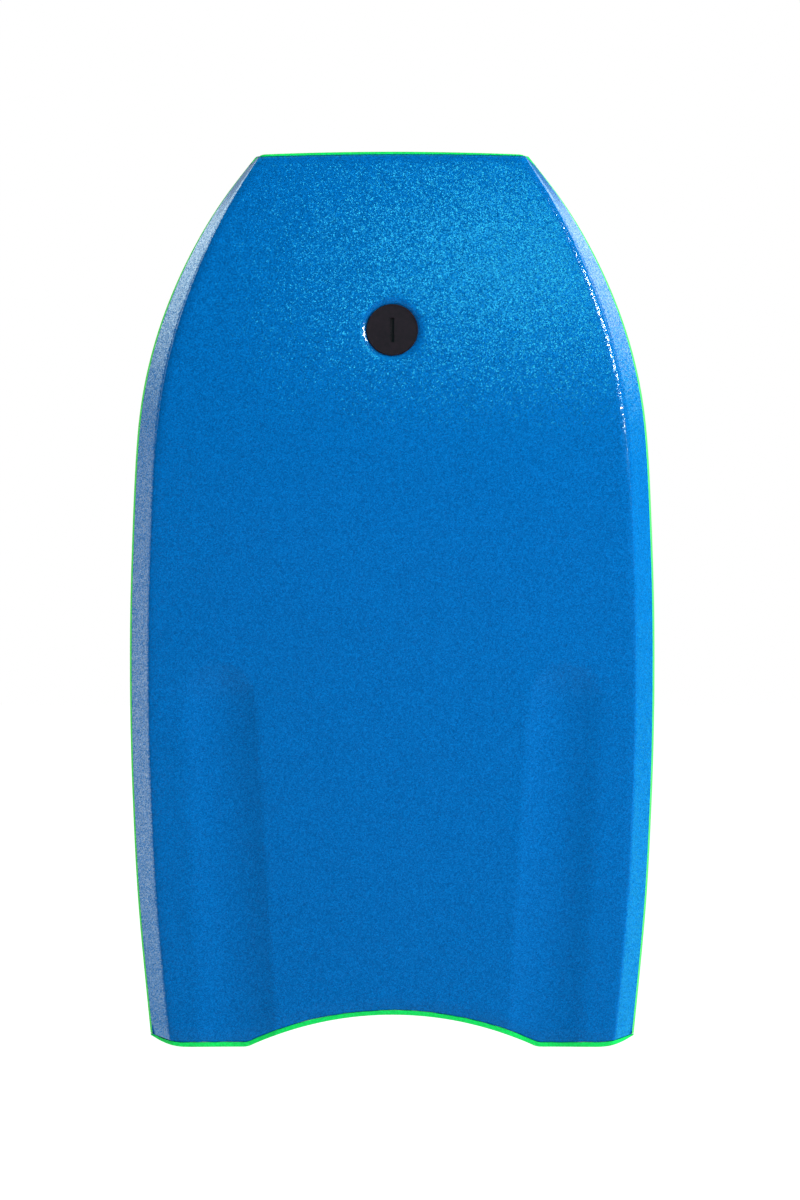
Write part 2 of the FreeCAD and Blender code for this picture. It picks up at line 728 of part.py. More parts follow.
def make_plug_top():
    """The deck half: a flange round a cup with a bar for the leash, on a threaded socket in the bore."""
    body = DOC.addObject("PartDesign::Body", "plug_top")
    seat = "Sheet.plug_span - Sheet.dimple_depth + Sheet.glue_gap"
    face = f"{seat} + Sheet.flange_thickness"
    cup_bottom = f"{face} - Sheet.cup_depth"
    socket_end = f"{cup_bottom} - Sheet.cup_floor"
    bevel = "Sheet.rim_width / 2"
    points = [
        ("Sheet.socket_outer_radius", "Sheet.socket_mouth"),
        ("Sheet.socket_outer_radius", seat),
        ("Sheet.flange_radius", seat),
        ("Sheet.flange_radius", f"{face} - {bevel}"),
        (f"Sheet.flange_radius - {bevel}", face),
        (f"Sheet.cup_radius + {bevel}", face),
        ("Sheet.cup_radius", f"{face} - {bevel}"),
        ("Sheet.cup_radius", cup_bottom),
        ("0", cup_bottom),
        ("0", socket_end),
        ("Sheet.socket_wall_radius", socket_end),
        ("Sheet.socket_wall_radius", "Sheet.socket_mouth"),
    ]
    revolved(body, "socket_blank", points)

    bar = new_sketch(body, "leash_bar_section", "YZ_Plane")
    bar_height = f"{face} - Sheet.leash_bar_depth"
    middle = V(0, value_of(bar, bar_height), 0)
    bar.addGeometry(Part.Circle(middle, V(0, 0, 1), size("leash_bar_radius")), False)
    bar.addConstraint(Sketcher.Constraint("PointOnObject", 0, 3, -2))
    bind(bar, "Radius", 0, value=size("leash_bar_radius"), to="Sheet.leash_bar_radius")
    bind(bar, "DistanceY", -1, 1, 0, 3, value=middle.y, to=bar_height)
    rod = body.newObject("PartDesign::Pad", "leash_bar")
    rod.Profile = bar
    rod.setExpression("Length", "2 * Sheet.cup_radius + Sheet.rim_width")
    rod.Midplane = True
    body.Tip = rod
    DOC.recompute()

    start = "Sheet.thread_start - Sheet.thread_pitch / 2"
    length = "Sheet.thread_length + Sheet.thread_pitch / 2"
    threaded(body, "socket_thread", "socket_wall_radius", False, start, length)
    on_plug_axis(body)
    return piece(body, "leash_plug_top")


make_plug_screw()
make_plug_top()

# ---------------------------------------------------------------- checks and files

DOC.recompute()
for thing in DOC.Objects:
    if any(state in ("Invalid", "Error") for state in thing.State):
        raise RuntimeError(f"{thing.Name} failed: {thing.State}")
for thing in PIECES:
    if thing.Shape.isNull() or not thing.Shape.isValid() or not thing.Shape.Solids:
        raise RuntimeError(f"{thing.Label} has no valid shape")

os.makedirs("parts", exist_ok=True)
for thing in PIECES:
    thing.Shape.exportStep(f"parts/{thing.Label}.step")
    box = thing.Shape.optimalBoundingBox(False, False)
    spans = (("X", box.XMin, box.XMax), ("Y", box.YMin, box.YMax), ("Z", box.ZMin, box.ZMax))
    reach = ", ".join(f"{axis} {low:.1f}..{high:.1f}" for axis, low, high in spans)
    print(f"{thing.Label}: {thing.Shape.Volume / 1000:.1f} cm3, {len(thing.Shape.Solids)} solid, {reach}")
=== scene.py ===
"""A bodyboard's looks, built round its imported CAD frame. Metres, in the frame's own axes.

+Z runs from tail to nose, +X across the board, and the slick bottom faces -Y, the deck +Y.
The board's lines are the CAD's, but the lip and the nose's strip are a little thinner, the foam is softly
rolled and pulled in, and the trim wanders. Every skin is a closed sheet on a grid from the tail to the nose.
"""

import math

import bpy
import numpy as np
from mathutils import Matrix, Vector


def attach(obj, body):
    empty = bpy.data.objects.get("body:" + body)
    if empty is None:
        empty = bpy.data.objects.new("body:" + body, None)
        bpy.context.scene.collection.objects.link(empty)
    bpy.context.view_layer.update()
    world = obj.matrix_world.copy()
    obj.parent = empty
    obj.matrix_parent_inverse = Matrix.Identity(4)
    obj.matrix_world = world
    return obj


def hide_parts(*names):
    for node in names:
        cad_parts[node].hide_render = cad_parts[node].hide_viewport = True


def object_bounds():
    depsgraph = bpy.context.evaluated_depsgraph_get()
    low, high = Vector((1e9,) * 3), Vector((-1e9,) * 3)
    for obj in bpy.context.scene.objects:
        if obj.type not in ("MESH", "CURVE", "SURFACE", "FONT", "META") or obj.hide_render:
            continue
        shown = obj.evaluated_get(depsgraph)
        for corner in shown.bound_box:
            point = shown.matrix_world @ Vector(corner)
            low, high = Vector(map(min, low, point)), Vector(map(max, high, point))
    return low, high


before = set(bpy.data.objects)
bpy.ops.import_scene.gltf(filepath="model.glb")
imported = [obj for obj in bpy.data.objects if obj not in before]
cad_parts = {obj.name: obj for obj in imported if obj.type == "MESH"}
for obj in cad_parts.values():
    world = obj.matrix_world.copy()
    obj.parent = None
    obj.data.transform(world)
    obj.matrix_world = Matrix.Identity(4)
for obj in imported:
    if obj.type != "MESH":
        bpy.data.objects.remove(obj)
cad_low, cad_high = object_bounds()

# ---------------------------------------------------------------- the board's lines

LENGTH = cad_high.z
BOTTOM = cad_low.y
THICKNESS = 0.050
NOSE_THINNING, NOSE_THINNING_START = 0.0135, 0.520
TAIL_THINNING, TAIL_THINNING_END = 0.004, 0.200
NOSE_LIFT, ROCKER_START = 0.028, 0.480
CHINE_WIDTH, CHINE_FADE, CHINE_FADE_START = 0.018, 0.0155, 0.550
SEAM_SHARE = 0.44
SHOULDER_INSET, SHOULDER_DROP = 0.005, 0.012
DECK_EDGE_INSET = 0.018
LIP = 0.0017

# Height above the tail, and the board's half width there.
STATIONS = np.array([
    (0.000, 0.2250), (0.070, 0.2321), (0.140, 0.2383), (0.210, 0.2422), (0.280, 0.2448),
    (0.350, 0.2457), (0.420, 0.2452), (0.480, 0.2434), (0.540, 0.2408), (0.600, 0.2355),
    (0.650, 0.2252), (0.700, 0.2085), (0.750, 0.1852), (0.795, 0.1577), (0.838, 0.1247),
])

CRESCENT_DEPTH, CRESCENT_RADIUS = 0.030, 0.320
LOBE_RADIUS = 0.020
TAIL_CORNER_RADIUS, TAIL_CORNER_CENTRE = 0.062, 0.1915
BUMPER_CORNER_RADIUS = 0.082
CROWN_RADIUS = 2.850
NOSE_CORNER_RADIUS, NOSE_CORNER_CENTRE = 0.009, 0.1194
BUMPER_NOSE_CORNER_CENTRE = 0.127
CORNER_TURN = math.radians(42)
NOSE_FLARE = 0.150 / 0.1746

SLICK_THICKNESS, DECK_THICKNESS, RAIL_THICKNESS = 0.0027, 0.0037, 0.0037
TAIL_BUMPER, NOSE_BUMPER, GLUE_GAP = 0.0042, 0.0022, 0.0003
TRIM_WANDER = 0.00035  # how far the tail's hand-trimmed cut strays
NOSE_TRIM_SLANT, NOSE_TRIM_BOW = 0.0030, 0.045  # how the nose's cut leans and bows across the board

CHANNEL_RADIUS, CHANNEL_LENGTH = 0.1215, 0.324
CHANNEL_DEPTHS = 0.0050, 0.0044  # at the tail and at the head
CHANNEL_OFFSETS = 0.142, 0.1605  # of the channels' middles from the board's, likewise

PLUG_HEIGHT, PLUG_SPAN, PLUG_TILT = 0.6705, 0.047, math.radians(3.6)
DIMPLE_DEPTH, BORE_RADIUS = 0.003, 0.0145
SEAT_RADIUS = 0.0242
PULL_DEPTH, PULL_REACH, PULL_FADE = 0.0017, 0.0315, 2.3  # the skin pulled in round the plug

# How softly the foam's surfaces run into each other.
KNEE_HEIGHTS = 0.500, 0.600, 0.700, 0.838
KNEE_SOFTNESS = 0.0016, 0.0026, 0.0028, 0.0040  # at those heights
KNEE_ROLL = 0.0006, 0.0016, 0.0017, 0.0016  # the face's slight turn before the knee, at those heights
KNEE_ROLL_REACH = 0.0085
KNEE_SPAN = np.linspace(-0.035, 0.035, 8)  # the stretch that the knee's values are averaged over
CHANNEL_INNER_SOFTNESS, CHANNEL_OUTER_SOFTNESS = 0.0006, 0.0022
CHANNEL_BLEND = 0.030  # the width over which one softness gives way to the other
DECK_EDGE_SOFTNESS, SHOULDER_SOFTNESS = 0.0050, 0.0040
TAIL_ROLL, TAIL_ROLL_REACH = 0.0022, 0.012
NOSE_ROLL, NOSE_ROLL_REACH = 0.0006, 0.008
CUT_EDGE, NOSE_CUT_EDGE = 0.0010, 0.0003  # how round a skin's cut edges are
BUMPER_EDGE = 0.0011

HALVINGS = 44  # steps of a search by halving, which leave it far less than a nanometre out


def natural_spline(knots, values):
    """The smooth curve through some points, straight at both ends, as a function."""
    steps = np.diff(knots)
    count = len(knots)
    matrix, right = np.eye(count), np.zeros(count)
    for i in range(1, count - 1):
        matrix[i, i - 1:i + 2] = steps[i - 1], 2 * (steps[i - 1] + steps[i]), steps[i]
        right[i] = 6 * ((values[i + 1] - values[i]) / steps[i] - (values[i] - values[i - 1]) / steps[i - 1])
    bend = np.linalg.solve(matrix, right)

    def curve(z):
        k = np.clip(np.searchsorted(knots, z) - 1, 0, count - 2)
        after, before, step = z - knots[k], knots[k + 1] - z, steps[k]
        cubic = (bend[k] * before**3 + bend[k + 1] * after**3) / (6 * step)
        line = (values[k] / step - bend[k] * step / 6) * before
        return cubic + line + (values[k + 1] / step - bend[k + 1] * step / 6) * after

    return curve


half_width = natural_spline(STATIONS[:, 0], STATIONS[:, 1])


def past(start, z):
    return np.maximum(0, z - start) / (LENGTH - start)


def rocker(z):
    return BOTTOM + NOSE_LIFT * past(ROCKER_START, z) ** 2


def thickness(z):
    tail = TAIL_THINNING * np.maximum(0, 1 - z / TAIL_THINNING_END) ** 2
    return THICKNESS - NOSE_THINNING * past(NOSE_THINNING_START, z) ** 2 - tail


def chine(z):
    return CHINE_WIDTH - CHINE_FADE * past(CHINE_FADE_START, z) ** 3


def lip(z):
    return LIP * chine(z) / CHINE_WIDTH


def chine_edge(z):
    return half_width(z) - chine(z)


def by_knee(z, values):
    """The values between the knee heights, averaged over a span so that the knee has no kink in it."""
    return np.mean([np.interp(z + shift, KNEE_HEIGHTS, values) for shift in KNEE_SPAN], axis=0)


def seam(z):
    return rocker(z) + SEAM_SHARE * thickness(z)


def deck(z):
    return rocker(z) + thickness(z)


def soft_max(a, b, softness):
    return np.maximum(a, b) + np.maximum(softness - np.abs(a - b), 0) ** 2 / (4 * softness)


def soft_min(a, b, softness):
    return -soft_max(-a, -b, softness)


# ---------------------------------------------------------------- the plan of the tail and the nose


def tail_line(x, inset=0.0, corner_radius=TAIL_CORNER_RADIUS):
    """Height of the tail's outline: crescent, lobe, pad and corner."""
    x = np.abs(x)
    arch = CRESCENT_RADIUS + inset
    arch_foot = CRESCENT_DEPTH - CRESCENT_RADIUS
    lobe, corner = LOBE_RADIUS - inset, corner_radius - inset
    lobe_x = math.sqrt((CRESCENT_RADIUS + LOBE_RADIUS) ** 2 - (LOBE_RADIUS - arch_foot) ** 2)
    meet_x = lobe_x * arch / (CRESCENT_RADIUS + LOBE_RADIUS)
    crescent = arch_foot + np.sqrt(np.maximum(arch**2 - x**2, 0))
    lobed = LOBE_RADIUS - np.sqrt(np.maximum(lobe**2 - (x - lobe_x) ** 2, 0))
    cornered = corner_radius - np.sqrt(np.maximum(corner**2 - (x - TAIL_CORNER_CENTRE) ** 2, 0))
    return np.select([x < meet_x, x < lobe_x, x < TAIL_CORNER_CENTRE], [crescent, lobed, inset], cornered)


def nose_line(x, inset=0.0, corner_x=NOSE_CORNER_CENTRE, flare=NOSE_FLARE):
    """Height of the nose's outline: the crown and the corner, which flares out past its turn."""
    x = np.abs(x)
    crown, corner = CROWN_RADIUS - inset, NOSE_CORNER_RADIUS - inset
    crown_foot = LENGTH - CROWN_RADIUS
    corner_z = crown_foot + math.sqrt((CROWN_RADIUS - NOSE_CORNER_RADIUS) ** 2 - corner_x**2)
    meet_x = corner_x * crown / (CROWN_RADIUS - NOSE_CORNER_RADIUS)
    turn_x = corner_x + corner * math.sin(CORNER_TURN)
    turn_z = corner_z + corner * math.cos(CORNER_TURN)
    crowned = crown_foot + np.sqrt(crown**2 - x**2)
    cornered = corner_z + np.sqrt(np.maximum(corner**2 - (x - corner_x) ** 2, 0))
    return np.select([x < meet_x, x < turn_x], [crowned, cornered], turn_z - flare * (x - turn_x))


def trim(x):
    """How far the cut between the skins and the tail's bumper strays from its line."""
    return TRIM_WANDER * (0.5 * np.sin(71 * x + 0.6) + 0.3 * np.sin(173 * x + 2.1) + 0.2 * np.sin(389 * x))


def bumper_tail(x, gap=0.0):
    return tail_line(x, TAIL_BUMPER + gap, BUMPER_CORNER_RADIUS) + trim(x)


def bumper_nose(x, gap=0.0):
    cut = NOSE_TRIM_SLANT * x + NOSE_TRIM_BOW * x**2
    return nose_line(x, NOSE_BUMPER + gap, BUMPER_NOSE_CORNER_CENTRE, 0.0) + cut


def skin_tail(x):
    return bumper_tail(x, GLUE_GAP)


def skin_nose(x):
    return bumper_nose(x, GLUE_GAP / 3)


# ---------------------------------------------------------------- the board's faces, as heights in Y


def plug_frame(x, z, y_foot):
    """Distance from the plug's tilted axis, and the height in Y of a plane square to it, through y_foot."""
    across = (z - PLUG_HEIGHT) * math.cos(PLUG_TILT)
    level = y_foot + (z - PLUG_HEIGHT) * math.tan(PLUG_TILT)
    return np.hypot(x, across), level


def pulled(from_plug):
    """How far the plug pulls a face in, most at its own rim."""
    return PULL_DEPTH * np.clip((PULL_REACH - from_plug) / (PULL_REACH - SEAT_RADIUS), 0, 1) ** PULL_FADE


def channels(x, z):
    """The two channels pressed into the bottom by the tail, round in section, with a rounded head."""
    run = np.clip(z / CHANNEL_LENGTH, 0, 1)
    depth = CHANNEL_DEPTHS[0] + (CHANNEL_DEPTHS[1] - CHANNEL_DEPTHS[0]) * run
    middle = CHANNEL_OFFSETS[0] + (CHANNEL_OFFSETS[1] - CHANNEL_OFFSETS[0]) * run
    beyond = np.maximum(z - CHANNEL_LENGTH, 0)
    from_axis = (np.abs(x) - middle) ** 2 + beyond**2
    return BOTTOM + depth - CHANNEL_RADIUS + np.sqrt(np.maximum(CHANNEL_RADIUS**2 - from_axis, 0)), middle


def roll(z, x):
    """How far the faces turn in by the tail and the nose, where the skins are pulled over the ends."""
    from_tail = np.clip(1 - (z - skin_tail(x)) / TAIL_ROLL_REACH, 0, 1)
    from_nose = np.clip(1 - (skin_nose(x) - z) / NOSE_ROLL_REACH, 0, 1)
    return TAIL_ROLL * from_tail**2 + NOSE_ROLL * from_nose**2


def bottom(x, z, crisp=False):
    """The bottom's face with its chines. A crisp one has no roll by its knees, which are all alike."""
    knee_roll = 0 * z if crisp else by_knee(z, KNEE_ROLL)
    softness = KNEE_SOFTNESS[0] if crisp else by_knee(z, KNEE_SOFTNESS)
    rise = (SEAM_SHARE * thickness(z) - knee_roll) / (chine(z) - lip(z))
    past_knee = np.abs(x) - chine_edge(z)
    flat = rocker(z) + knee_roll * np.clip(1 + past_knee / KNEE_ROLL_REACH, 0, 1) ** 2
    y = flat + soft_max(0 * x, rise * past_knee, softness)
    trough, middle = channels(x, z)
    inner = np.clip(0.5 + (middle - np.abs(x)) / CHANNEL_BLEND, 0, 1)
    channel_softness = CHANNEL_OUTER_SOFTNESS + (CHANNEL_INNER_SOFTNESS - CHANNEL_OUTER_SOFTNESS) * inner
    y = soft_max(y, trough, channel_softness)
    from_plug, level = plug_frame(x, z, float(rocker(PLUG_HEIGHT)) + DIMPLE_DEPTH)
    return np.where(from_plug < SEAT_RADIUS, level, y + pulled(from_plug)) + roll(z, x)


def deck_face(x, z):
    """The deck's face, out over the deck edge and the shoulder and down to the seam."""
    top, out = deck(z), half_width(z) - np.abs(x)
    bevel_slope = SHOULDER_DROP / (DECK_EDGE_INSET - SHOULDER_INSET)
    bevel = top - bevel_slope * (DECK_EDGE_INSET - out)
    side = seam(z) + (top - SHOULDER_DROP - seam(z)) * out / SHOULDER_INSET
    y = soft_min(soft_min(top, bevel, DECK_EDGE_SOFTNESS), side, SHOULDER_SOFTNESS)
    foot = float(rocker(PLUG_HEIGHT)) + PLUG_SPAN / math.cos(PLUG_TILT) - DIMPLE_DEPTH
    from_plug, level = plug_frame(x, z, foot)
    inward = 0.5 * roll(z, x) * np.clip(out / DECK_EDGE_INSET, 0, 1)
    return np.where(from_plug < SEAT_RADIUS, level, y - pulled(from_plug)) - inward


# ---------------------------------------------------------------- grids and sheets

SHARP_ANGLE = math.radians(50)
PLUG_ZONE = 0.052  # half the side of the square round the plug where the grid turns into rings
ROUND_ZONE = 0.036  # half the side of the square inside it where the rings are fully round
BORE_CELLS = 18
RINGS = np.array([14.5, 17, 19.5, 21.5, 23, 24.1, 24.3, 24.6, 25, 25.5, 26.1, 26.8, 27.6, 28.5, 29.5,
                  30.7, 32, 33.5, 35.3, 37.5, 40, 43, 46, 49, 52]) / 1000  # distances from the plug's axis
TAIL_STEPS = [0, 0.0003, 0.0008, 0.0016, 0.0028, 0.0045, 0.0065, 0.009]
EVEN_FROM = 0.012  # distance from the tail's line where even rows begin
TAIL_CELLS, NOSE_CELLS = 182, 44
NOSE_CROWDING = 1.35  # how much closer the rows are by the nose's line


def plug_offsets():
    """Grid lines across the plug's square, in from its edge to the bore, across the bore, and out again."""
    bore = np.linspace(-BORE_RADIUS, BORE_RADIUS, BORE_CELLS + 1)
    return np.concatenate([-RINGS[::-1], bore[1:-1], RINGS])


def grid_rows():
    """Each row as (zone, share): the tail's stretch, the plug's square and the nose's stretch."""
    tail_length = PLUG_HEIGHT - PLUG_ZONE
    tail = np.concatenate([TAIL_STEPS, np.linspace(EVEN_FROM, tail_length, TAIL_CELLS)]) / tail_length
    nose = 1 - np.linspace(1, 0, NOSE_CELLS + 1)[1:] ** NOSE_CROWDING
    plug = plug_offsets()[1:]
    zone = np.concatenate([np.zeros(len(tail)), np.ones(len(plug)), np.full(len(nose), 2)])
    return zone, np.concatenate([tail, plug, nose])


def grid_heights(across, columns):
    """Heights of a grid whose columns are x = across(z): rows run from the tail's line to the nose's."""
    zone, share = (values[:, None] for values in grid_rows())
    margin = 0.01

    def row_height(x):
        low, high = PLUG_HEIGHT - PLUG_ZONE, PLUG_HEIGHT + PLUG_ZONE
        tail = skin_tail(x) + (low - skin_tail(x)) * share
        nose = high + (skin_nose(x) - high) * share
        return np.where(zone == 0, tail, np.where(zone == 1, PLUG_HEIGHT + share, nose))

    low = np.full((len(share), columns), -margin)
    high = np.full((len(share), columns), LENGTH + margin)
    for _ in range(HALVINGS):
        z = (low + high) / 2
        above = z > row_height(across(z))
        high = np.where(above, z, high)
        low = np.where(above, low, z)
    return (low + high) / 2


def board_columns(z, plug, side_columns, count):
    """Columns across the board: a side's own, in from its edge, then the plug's, then the other side's."""
    left = side_columns(z[:, :count])
    right = side_columns(z[:, :-count - 1:-1])
    return np.concatenate([-left, plug + 0 * z[:, count:-count], right[:, ::-1]], axis=1)


def ringed(x, z):
    """Turns the squares round the plug into rings."""
    u, v = x, z - PLUG_HEIGHT
    square = np.maximum(np.abs(u), np.abs(v))
    reach = np.clip((PLUG_ZONE - square) / (PLUG_ZONE - ROUND_ZONE), 0, 1)
    share = reach * reach * (3 - 2 * reach)
    scale = 1 + share * (square / np.maximum(np.hypot(u, v), 1e-9) - 1)
    inside = square < PLUG_ZONE - 1e-6
    return np.where(inside, u * scale, x), np.where(inside, PLUG_HEIGHT + v * scale, z)


def plug_hole(columns):
    """First and last row and column of the bore's square, in a grid with the plug's columns in its middle."""
    zone, share = grid_rows()
    in_square = np.flatnonzero(zone == 1)
    first_row, last_row = (int(in_square[np.argmin(np.abs(share[in_square] - edge))])
                           for edge in (-BORE_RADIUS, BORE_RADIUS))
    return first_row, last_row, columns // 2 - BORE_CELLS // 2, columns // 2 + BORE_CELLS // 2


def new_mesh(name, vertices, faces, material):
    mesh = bpy.data.meshes.new(name)
    mesh.from_pydata([tuple(v) for v in vertices], [], faces)
    mesh.validate()
    mesh.shade_smooth()
    mesh.set_sharp_from_angle(angle=SHARP_ANGLE)
    mesh.materials.append(material)
    made = bpy.data.objects.new(name, mesh)
    bpy.context.scene.collection.objects.link(made)
    return made


def border(rows, columns):
    """Grid points round a rectangle, from (0, 0) along the first row and back."""
    last_row, last_column = rows - 1, columns - 1
    round_it = [(0, j) for j in range(last_column)]
    round_it += [(i, last_column) for i in range(last_row)]
    round_it += [(last_row, j) for j in range(last_column, 0, -1)]
    return round_it + [(i, 0) for i in range(last_row, 0, -1)]


def sheet(name, outer, inner, material, hole=None):
    """A closed skin: a fine outer face, an inner face on every second grid point, and the edges between."""
    rows, columns = outer.shape[:2]
    inner_rows, inner_columns = inner.shape[:2]
    vertices = np.concatenate([outer.reshape(-1, 3), inner.reshape(-1, 3)])
    first_inner = rows * columns

    def out(i, j):
        return i * columns + j

    def within(i, j):
        return first_inner + i * inner_columns + j

    low_i, high_i, low_j, high_j = hole or (0, 0, 0, 0)
    faces = []
    for i in range(rows - 1):
        for j in range(columns - 1):
            if not (low_i <= i < high_i and low_j <= j < high_j):
                faces.append((out(i, j), out(i, j + 1), out(i + 1, j + 1), out(i + 1, j)))
    for i in range(inner_rows - 1):
        for j in range(inner_columns - 1):
            if not (low_i <= 2 * i < high_i and low_j <= 2 * j < high_j):
                faces.append((within(i, j), within(i + 1, j), within(i + 1, j + 1), within(i, j + 1)))

    def close(loop, start_i, start_j, flip):
        for k, (i, j) in enumerate(loop):
            next_i, next_j = loop[(k + 1) % len(loop)]
            a, b = (start_i + 2 * i, start_j + 2 * j), (start_i + 2 * next_i, start_j + 2 * next_j)
            middle = ((a[0] + b[0]) // 2, (a[1] + b[1]) // 2)
            face = [out(*b), out(*middle), out(*a)]
            face += [within(p // 2, q // 2) for p, q in (a, b)]
            faces.append(tuple(face[::-1] if flip else face))

    close(border(inner_rows, inner_columns), 0, 0, False)
    if hole:
        close(border((high_i - low_i) // 2 + 1, (high_j - low_j) // 2 + 1), low_i, low_j, True)
    used = np.zeros(len(vertices), bool)
    used[[v for face in faces for v in face]] = True
    number = np.cumsum(used) - 1
    return new_mesh(name, vertices[used], [tuple(int(number[v]) for v in face) for face in faces], material)


def cut_edge(x, z):
    """How far a skin's face turns in at its cut edges."""
    turned = 0
    for distance, size in ((z - skin_tail(x), CUT_EDGE), (skin_nose(x) - z, NOSE_CUT_EDGE)):
        near = np.clip(1 - distance / size, 0, 1)
        turned = turned + size * (1 - np.sqrt(1 - near**2))
    return turned


# ---------------------------------------------------------------- materials


def shader(name, colour, roughness, specular):
    """A new material: its node tree and its Principled shader."""
    material = bpy.data.materials.new(name)
    material.use_nodes = True
    tree = material.node_tree
    surface = tree.nodes["Principled BSDF"]
    surface.inputs["Base Color"].default_value = (*colour, 1)
    surface.inputs["Roughness"].default_value = roughness
    surface.inputs["Specular IOR Level"].default_value = specular
    return material, tree, surface


def feed(tree, socket, value):
    """Links a socket to another node's output, or sets it to a number or a colour."""
    if isinstance(value, bpy.types.NodeSocket):
        tree.links.new(value, socket)
    else:
        socket.default_value = value


def node(tree, kind, settings=None, **inputs):
    """A new node, with its settings, and its inputs by name with _ for each space."""
    made = tree.nodes.new(kind)
    for key, value in (settings or {}).items():
        setattr(made, key, value)
    for key, value in inputs.items():
        feed(tree, made.inputs[key.replace("_", " ")], value)
    return made


def object_place(tree):
    return node(tree, "ShaderNodeTexCoord").outputs["Object"]


def maths(tree, operation, *values, kind="ShaderNodeMath"):
    made = node(tree, kind, {"operation": operation})
    for socket, value in zip(made.inputs, values):
        feed(tree, socket, value)
    return made.outputs[0]


def vector_maths(tree, operation, *values):
    return maths(tree, operation, *values, kind="ShaderNodeVectorMath")


def noise(tree, place, scale, detail, roughness=0.5):
    made = node(tree, "ShaderNodeTexNoise", Vector=place, Scale=scale, Detail=detail, Roughness=roughness)
    return made.outputs["Fac"]


def map_range(tree, value, low, high, at_low, at_high):
    ends = {"From_Min": low, "From_Max": high, "To_Min": at_low, "To_Max": at_high}
    return node(tree, "ShaderNodeMapRange", Value=value, **ends).outputs[0]


def ramp(tree, factor, stops):
    made = tree.nodes.new("ShaderNodeValToRGB")
    tree.links.new(factor, made.inputs[0])
    ends = made.color_ramp.elements
    while len(ends) < len(stops):
        ends.new(0.5)
    for element, (place, colour) in zip(ends, stops):
        element.position, element.color = place, (*colour, 1)
    return made.outputs[0]


def shade(colour, factor):
    return tuple(channel * factor for channel in colour)


def foam_skin(name, colour, roughness, specular, tint, grain, grain_depth, mottle, film=0.0):
    """A closed-cell foam skin: a pressed pebble grain, each pebble its own tone, and a sheen that varies.

    grain and grain_depth are a pebble's width and height, and mottle is how far its tone may stray.
    film is the weight of a slick's clear skin, whose pebbles each lean their own way, so a few of them glint.
    """
    material, tree, surface = shader(name, colour, roughness, specular)
    surface.inputs["Specular Tint"].default_value = (*tint, 1)
    place = object_place(tree)
    cells = node(tree, "ShaderNodeTexVoronoi", {"feature": "F1"}, Vector=place, Scale=1 / grain)
    own, patchy, _ = node(tree, "ShaderNodeSeparateColor", Color=cells.outputs["Color"]).outputs
    fine = noise(tree, place, 1.4 / grain, 1.0)
    cloud = noise(tree, place, 38.0, 3.0, 0.6)
    height = maths(tree, "ADD", maths(tree, "MULTIPLY", cells.outputs["Distance"], -0.25), fine)
    bump = node(tree, "ShaderNodeBump", Height=height, Distance=grain_depth, Strength=1.0)
    tree.links.new(bump.outputs[0], surface.inputs["Normal"])
    grain_tone = maths(tree, "ADD", maths(tree, "MULTIPLY", own, 0.5), maths(tree, "MULTIPLY", fine, 0.4))
    tone = maths(tree, "ADD", grain_tone, maths(tree, "MULTIPLY", cloud, 0.1))
    colours = ramp(tree, tone, [(0.15, shade(colour, 1 - mottle)), (0.85, shade(colour, 1 + mottle))])
    tree.links.new(colours, surface.inputs["Base Color"])
    rough = map_range(tree, own, 0, 1, roughness - ROUGH_SPREAD, roughness + ROUGH_SPREAD)
    tree.links.new(rough, surface.inputs["Roughness"])
    if film:
        spread, offset = [FILM_LEAN] * 3, [-FILM_LEAN / 2] * 3
        lean = vector_maths(tree, "MULTIPLY_ADD", cells.outputs["Color"], spread, offset)
        upright = node(tree, "ShaderNodeNewGeometry").outputs["Normal"]
        normal = vector_maths(tree, "NORMALIZE", vector_maths(tree, "ADD", lean, upright))
        tree.links.new(normal, surface.inputs["Coat Normal"])
        tree.links.new(normal, bump.inputs["Normal"])
        tree.links.new(maths(tree, "MULTIPLY", patchy, film), surface.inputs["Coat Weight"])
        surface.inputs["Coat Roughness"].default_value = 0.13
        surface.inputs["Coat IOR"].default_value = 2.2
    return material


def moulded_plastic(name, colour, roughness):
    """Black plastic from a spark-eroded mould: a very fine speckle in both its tone and its surface."""
    material, tree, surface = shader(name, colour, roughness, 0.28)
    place = object_place(tree)
    speckle = noise(tree, place, 2600.0, 2.0)
    cloud = noise(tree, place, 220.0, 3.0)
    bump = node(tree, "ShaderNodeBump", Height=speckle, Distance=0.0001, Strength=1.0)
    tree.links.new(bump.outputs[0], surface.inputs["Normal"])
    tone = maths(tree, "ADD", maths(tree, "MULTIPLY", cloud, 0.4), maths(tree, "MULTIPLY", speckle, 0.6))
    colours = ramp(tree, tone, [(0.35, shade(colour, 0.6)), (0.65, shade(colour, 1.5))])
    tree.links.new(colours, surface.inputs["Base Color"])
    return material


def bead_foam(name, colour):
    """Expanded polystyrene: swollen beads pressed together, darker where they meet."""
    material, tree, surface = shader(name, colour, 0.85, 0.3)
    place = object_place(tree)
    beads, edges = (node(tree, "ShaderNodeTexVoronoi", {"feature": feature}, Vector=place, Scale=280.0)
                    for feature in ("F1", "DISTANCE_TO_EDGE"))
    colours = ramp(tree, edges.outputs["Distance"], [(0.0, shade(colour, 0.78)), (0.12, colour)])
    bump = node(tree, "ShaderNodeBump", Height=beads.outputs["Distance"], Distance=0.0005, Strength=0.6)
    bump.invert = True
    tree.links.new(colours, surface.inputs["Base Color"])
    tree.links.new(bump.outputs[0], surface.inputs["Normal"])
    return material


FILM_LEAN = 0.16
ROUGH_SPREAD = 0.05  # how far a pebble's roughness strays from its skin's
WHITE = (1.0, 1.0, 1.0)
BLUE, BLUE_SHEEN = (0.0003, 0.1255, 0.425), (0.045, 0.70, 1.0)
GREEN, GREEN_SHEEN = (0.004, 0.66, 0.105), (0.8, 1.0, 0.8)
# A paler copy of the deck's green for the lip's cut face: painted light, for the bright light that the thin
# lip catches.
LIP_PAINTED_LIGHT_GREEN = (0.14, 0.80, 0.14)

